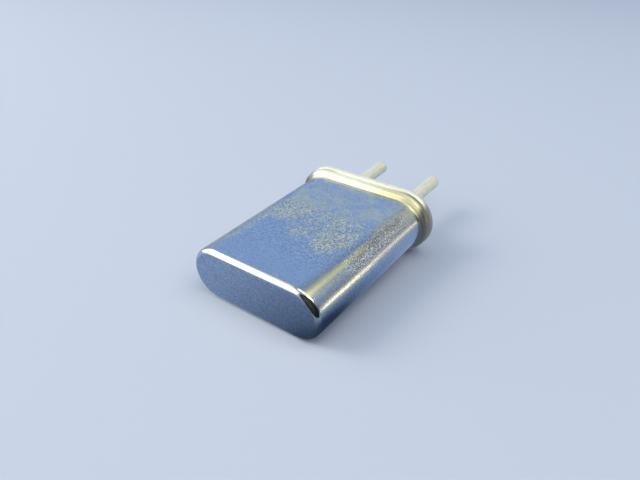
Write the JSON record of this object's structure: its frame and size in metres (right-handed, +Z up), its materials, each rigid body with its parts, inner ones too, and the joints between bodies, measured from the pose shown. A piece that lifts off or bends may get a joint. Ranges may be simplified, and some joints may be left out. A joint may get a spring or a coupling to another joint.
{
  "type": "crystal oscillator",
  "caption": "Quartz crystal sealed in an oblong drawn metal cover, flared and welded to a metal base with two round contact pins.",
  "frame": {"origin": "on the surface that the holder lies on, under the middle of its outline", "axes": "+Z up from the broad side that it lies on, +Y along the holder from its closed end to its pins, +X along its width"},
  "size_m": [0.011, 0.0198, 0.0047],
  "materials": {
    "cover_metal": "satin nickel-silver, lightly tarnished and scratched",
    "base_metal": "satin nickel plate, slightly yellowed at the weld",
    "pin_metal": "matte tinned",
    "seal_glass": "smooth fused glass",
    "clip_metal": "bright nickel ribbon",
    "quartz": "fine lapped quartz",
    "silver_film": "evaporated silver",
    "cement": "matte silver-filled cement"
  },
  "bodies": {
    "root": {"cover": "cover_metal", "base": "base_metal", "glass_seal_left": "seal_glass", "glass_seal_right": "seal_glass", "pin_left": "pin_metal", "pin_right": "pin_metal", "clip_left": "clip_metal", "clip_right": "clip_metal", "quartz_blank": "quartz", "electrode_front": "silver_film", "electrode_back": "silver_film", "cement_left": "cement", "cement_right": "cement"}
  },
  "joints": []
}
